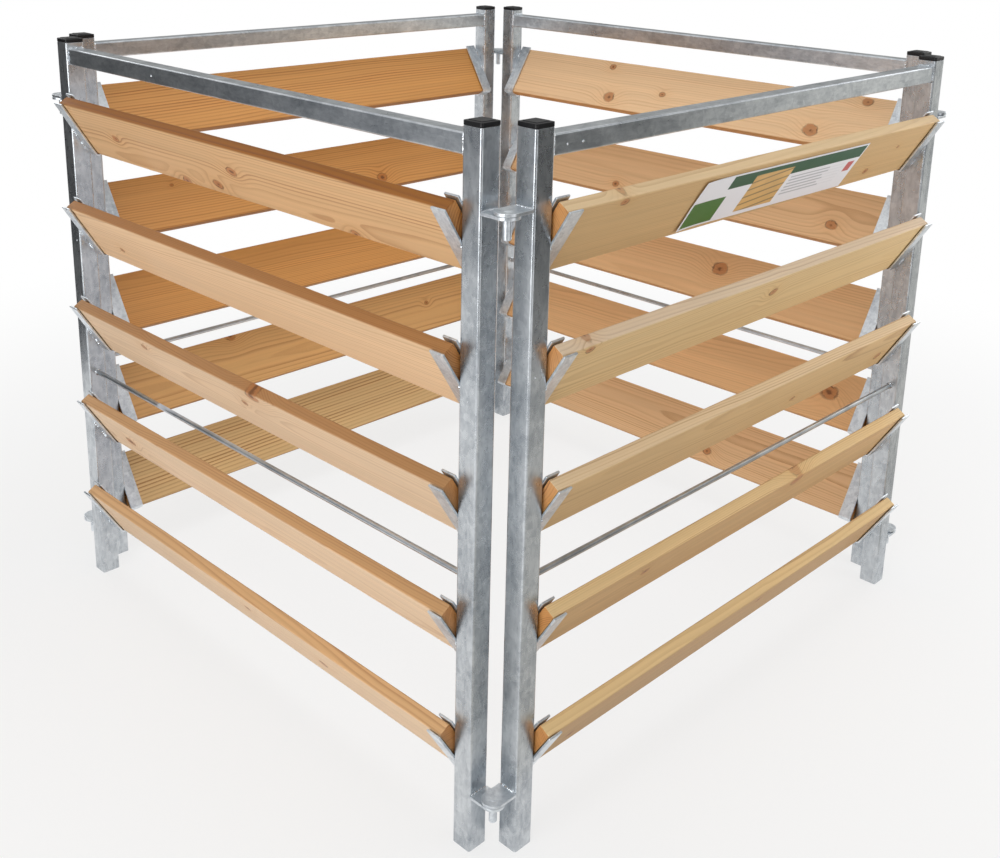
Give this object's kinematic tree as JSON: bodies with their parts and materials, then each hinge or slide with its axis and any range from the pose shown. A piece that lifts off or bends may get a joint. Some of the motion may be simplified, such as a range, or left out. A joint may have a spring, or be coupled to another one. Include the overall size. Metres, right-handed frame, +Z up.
{
  "type": "compost bin",
  "caption": "Open square compost bin: pin-hinged galvanised tube frames carrying tilted, lift-out wooden slats in welded U-shaped holders.",
  "frame": {"origin": "on the ground under the middle of the square bin", "axes": "+Z up; +X and +Y square to the sides, the front panel facing -Y and the right panel +X"},
  "size_m": [1.083, 1.083, 0.9303],
  "materials": {
    "galvanised_tube": "hot-dip galvanised, with a soft spangle",
    "galvanised_rod": "hot-dip galvanised round bar",
    "galvanised_plate": "hot-dip galvanised plate and pin",
    "softwood": "planed, untreated",
    "black_plastic": "moulded, slightly glossy"
  },
  "bodies": {
    "front_panel": {"front_pin_post": "galvanised_tube", "front_pin_post_cap": "black_plastic", "front_eye_post": "galvanised_tube", "front_eye_post_cap": "black_plastic", "front_top_rail": "galvanised_tube", "front_tie_rod": "galvanised_rod", "front_upper_hinge_pin": "galvanised_plate", "front_upper_hinge_eye": "galvanised_plate", "front_lower_hinge_pin": "galvanised_plate", "front_lower_hinge_eye": "galvanised_plate"},
    "front_slat_1": {"front_slat_1": "softwood"},
    "front_slat_2": {"front_slat_2": "softwood"},
    "front_slat_3": {"front_slat_3": "softwood"},
    "front_slat_4": {"front_slat_4": "softwood"},
    "front_slat_5": {"front_slat_5": "softwood"},
    "right_panel": {"right_pin_post": "galvanised_tube", "right_pin_post_cap": "black_plastic", "right_eye_post": "galvanised_tube", "right_eye_post_cap": "black_plastic", "right_top_rail": "galvanised_tube", "right_tie_rod": "galvanised_rod", "right_upper_hinge_pin": "galvanised_plate", "right_upper_hinge_eye": "galvanised_plate", "right_lower_hinge_pin": "galvanised_plate", "right_lower_hinge_eye": "galvanised_plate"},
    "right_slat_1": {"right_slat_1": "softwood"},
    "right_slat_2": {"right_slat_2": "softwood"},
    "right_slat_3": {"right_slat_3": "softwood"},
    "right_slat_4": {"right_slat_4": "softwood"},
    "right_slat_5": {"right_slat_5": "softwood"},
    "back_panel": {"back_pin_post": "galvanised_tube", "back_pin_post_cap": "black_plastic", "back_eye_post": "galvanised_tube", "back_eye_post_cap": "black_plastic", "back_top_rail": "galvanised_tube", "back_tie_rod": "galvanised_rod", "back_upper_hinge_pin": "galvanised_plate", "back_upper_hinge_eye": "galvanised_plate", "back_lower_hinge_pin": "galvanised_plate", "back_lower_hinge_eye": "galvanised_plate"},
    "back_slat_1": {"back_slat_1": "softwood"},
    "back_slat_2": {"back_slat_2": "softwood"},
    "back_slat_3": {"back_slat_3": "softwood"},
    "back_slat_4": {"back_slat_4": "softwood"},
    "back_slat_5": {"back_slat_5": "softwood"},
    "left_panel": {"left_pin_post": "galvanised_tube", "left_pin_post_cap": "black_plastic", "left_eye_post": "galvanised_tube", "left_eye_post_cap": "black_plastic", "left_top_rail": "galvanised_tube", "left_tie_rod": "galvanised_rod", "left_upper_hinge_pin": "galvanised_plate", "left_upper_hinge_eye": "galvanised_plate", "left_lower_hinge_pin": "galvanised_plate", "left_lower_hinge_eye": "galvanised_plate"},
    "left_slat_1": {"left_slat_1": "softwood"},
    "left_slat_2": {"left_slat_2": "softwood"},
    "left_slat_3": {"left_slat_3": "softwood"},
    "left_slat_4": {"left_slat_4": "softwood"},
    "left_slat_5": {"left_slat_5": "softwood"}
  },
  "joints": [
    {"name": "front_slat_1_lift", "type": "slide", "parent": "front_panel", "child": "front_slat_1", "axis": [0, -0.5299, 0.848], "range_m": [0, 0.108]},
    {"name": "front_slat_2_lift", "type": "slide", "parent": "front_panel", "child": "front_slat_2", "axis": [0, -0.5299, 0.848], "range_m": [0, 0.108]},
    {"name": "front_slat_3_lift", "type": "slide", "parent": "front_panel", "child": "front_slat_3", "axis": [0, -0.5299, 0.848], "range_m": [0, 0.108]},
    {"name": "front_slat_4_lift", "type": "slide", "parent": "front_panel", "child": "front_slat_4", "axis": [0, -0.5299, 0.848], "range_m": [0, 0.108]},
    {"name": "front_slat_5_lift", "type": "slide", "parent": "front_panel", "child": "front_slat_5", "axis": [0, -0.5299, 0.848], "range_m": [0, 0.108]},
    {"name": "right_slat_1_lift", "type": "slide", "parent": "right_panel", "child": "right_slat_1", "axis": [0.5299, 0, 0.848], "range_m": [0, 0.108]},
    {"name": "right_slat_2_lift", "type": "slide", "parent": "right_panel", "child": "right_slat_2", "axis": [0.5299, 0, 0.848], "range_m": [0, 0.108]},
    {"name": "right_slat_3_lift", "type": "slide", "parent": "right_panel", "child": "right_slat_3", "axis": [0.5299, 0, 0.848], "range_m": [0, 0.108]},
    {"name": "right_slat_4_lift", "type": "slide", "parent": "right_panel", "child": "right_slat_4", "axis": [0.5299, 0, 0.848], "range_m": [0, 0.108]},
    {"name": "right_slat_5_lift", "type": "slide", "parent": "right_panel", "child": "right_slat_5", "axis": [0.5299, 0, 0.848], "range_m": [0, 0.108]},
    {"name": "back_slat_1_lift", "type": "slide", "parent": "back_panel", "child": "back_slat_1", "axis": [0, 0.5299, 0.848], "range_m": [0, 0.108]},
    {"name": "back_slat_2_lift", "type": "slide", "parent": "back_panel", "child": "back_slat_2", "axis": [0, 0.5299, 0.848], "range_m": [0, 0.108]},
    {"name": "back_slat_3_lift", "type": "slide", "parent": "back_panel", "child": "back_slat_3", "axis": [0, 0.5299, 0.848], "range_m": [0, 0.108]},
    {"name": "back_slat_4_lift", "type": "slide", "parent": "back_panel", "child": "back_slat_4", "axis": [0, 0.5299, 0.848], "range_m": [0, 0.108]},
    {"name": "back_slat_5_lift", "type": "slide", "parent": "back_panel", "child": "back_slat_5", "axis": [0, 0.5299, 0.848], "range_m": [0, 0.108]},
    {"name": "left_slat_1_lift", "type": "slide", "parent": "left_panel", "child": "left_slat_1", "axis": [-0.5299, 0, 0.848], "range_m": [0, 0.108]},
    {"name": "left_slat_2_lift", "type": "slide", "parent": "left_panel", "child": "left_slat_2", "axis": [-0.5299, 0, 0.848], "range_m": [0, 0.108]},
    {"name": "left_slat_3_lift", "type": "slide", "parent": "left_panel", "child": "left_slat_3", "axis": [-0.5299, 0, 0.848], "range_m": [0, 0.108]},
    {"name": "left_slat_4_lift", "type": "slide", "parent": "left_panel", "child": "left_slat_4", "axis": [-0.5299, 0, 0.848], "range_m": [0, 0.108]},
    {"name": "left_slat_5_lift", "type": "slide", "parent": "left_panel", "child": "left_slat_5", "axis": [-0.5299, 0, 0.848], "range_m": [0, 0.108]},
    {"name": "right_panel_fold", "type": "hinge", "parent": "front_panel", "child": "right_panel", "pos_m": [0.5, -0.5, 0.45], "axis": [0, 0, 1], "range_deg": [-20, 20]},
    {"name": "left_panel_fold", "type": "hinge", "parent": "front_panel", "child": "left_panel", "pos_m": [-0.5, -0.5, 0.45], "axis": [0, 0, 1], "range_deg": [-20, 20]},
    {"name": "back_panel_fold", "type": "hinge", "parent": "right_panel", "child": "back_panel", "pos_m": [0.5, 0.5, 0.45], "axis": [0, 0, 1], "range_deg": [-20, 20]}
  ],
  "couplings": [
    {"joint": "left_panel_fold", "follows": "right_panel_fold", "ratio": 1},
    {"joint": "back_panel_fold", "follows": "right_panel_fold", "ratio": -1}
  ]
}
